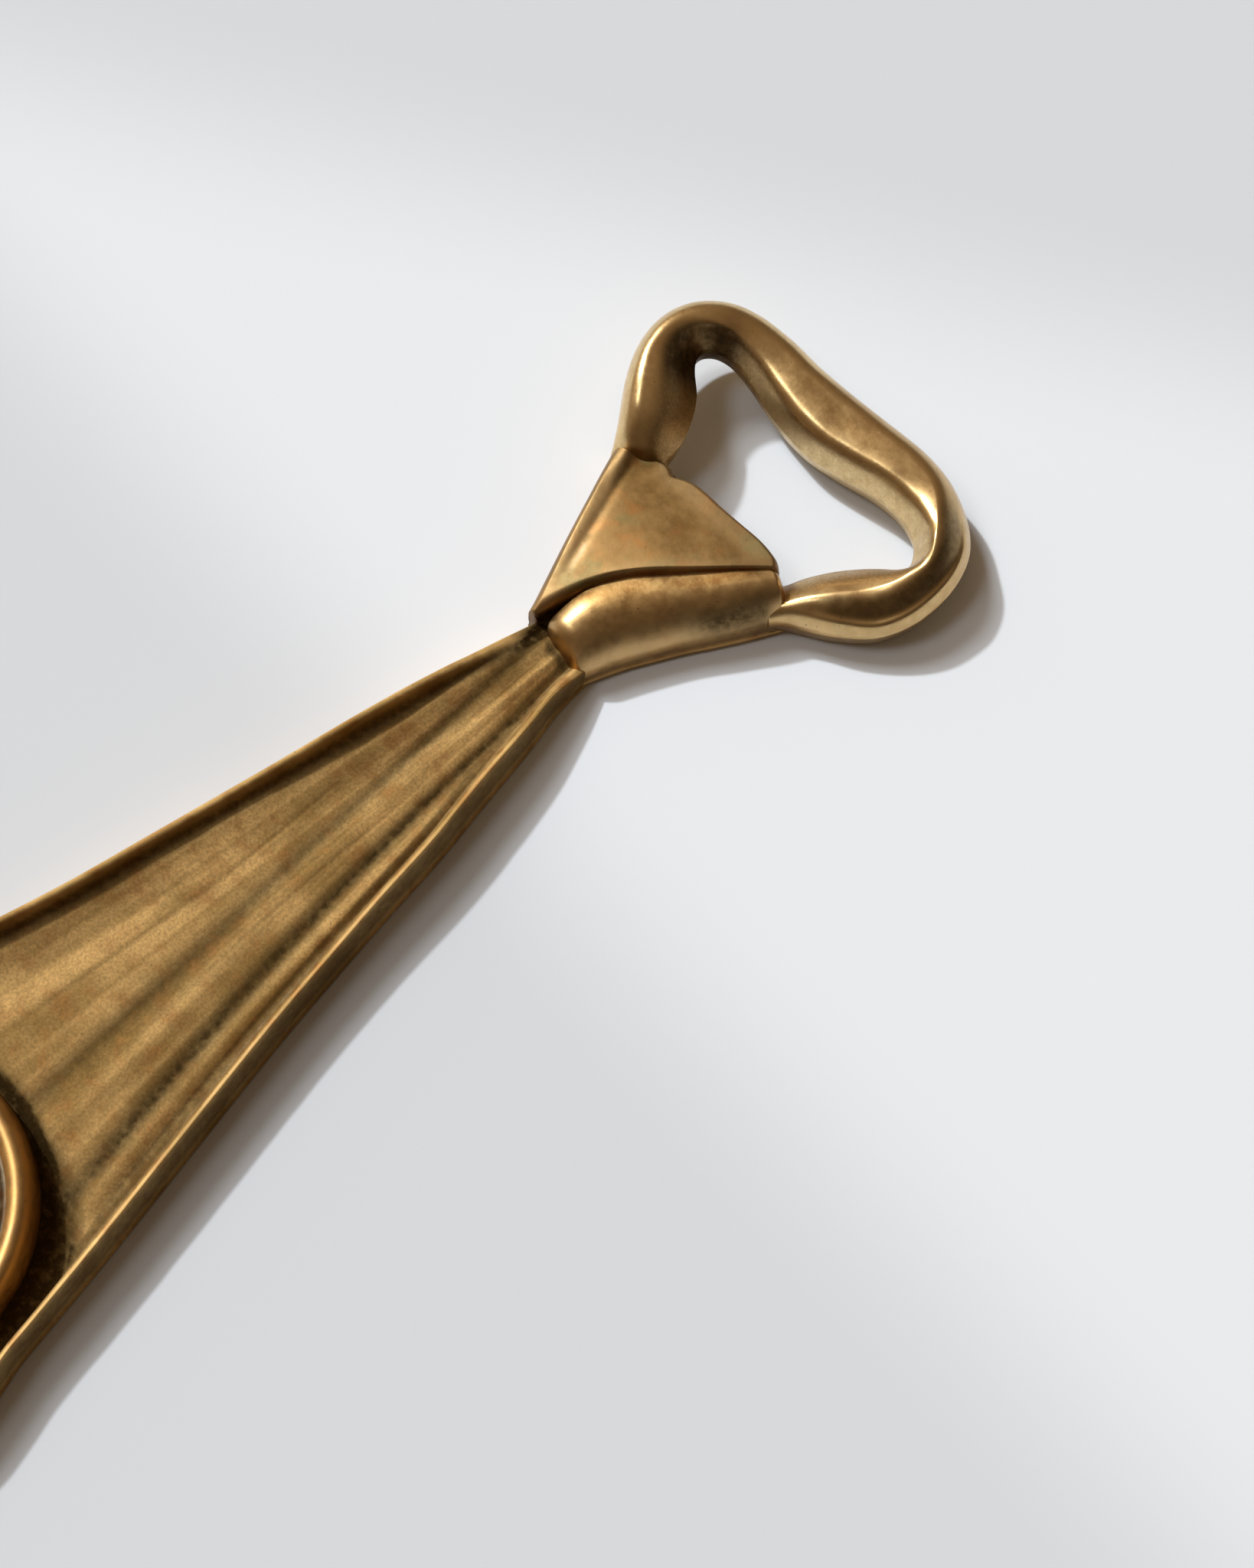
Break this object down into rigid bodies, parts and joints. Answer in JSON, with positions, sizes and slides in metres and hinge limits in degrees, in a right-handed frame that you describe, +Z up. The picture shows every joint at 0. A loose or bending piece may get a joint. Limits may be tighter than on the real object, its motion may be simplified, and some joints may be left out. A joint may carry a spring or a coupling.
{
  "type": "bottle opener",
  "caption": "Cast brass souvenir bottle opener shaped like a knotted necktie, with a bow-shaped cap opener and a round medallion.",
  "frame": {"origin": "on the flat back face, at the middle of the overall length and width", "axes": "+Y runs along the tie from its point to the opener's bow, +Z points up out of the decorated face, +X completes the right-handed frame"},
  "size_m": [0.0486, 0.1699, 0.008],
  "materials": {
    "blade": "aged satin cast",
    "knot": "aged satin cast",
    "leaf": "aged satin cast",
    "roll": "aged satin cast",
    "loop": "aged satin cast",
    "bezel": "aged satin, worn crest",
    "disc": "dull struck face"
  },
  "bodies": {
    "root": {"tie_blade": "blade", "knot_body": "knot", "knot_front_leaf": "leaf", "knot_side_roll": "roll", "opener_loop": "loop", "medallion_bezel": "bezel", "medallion_disc": "disc"}
  },
  "joints": []
}
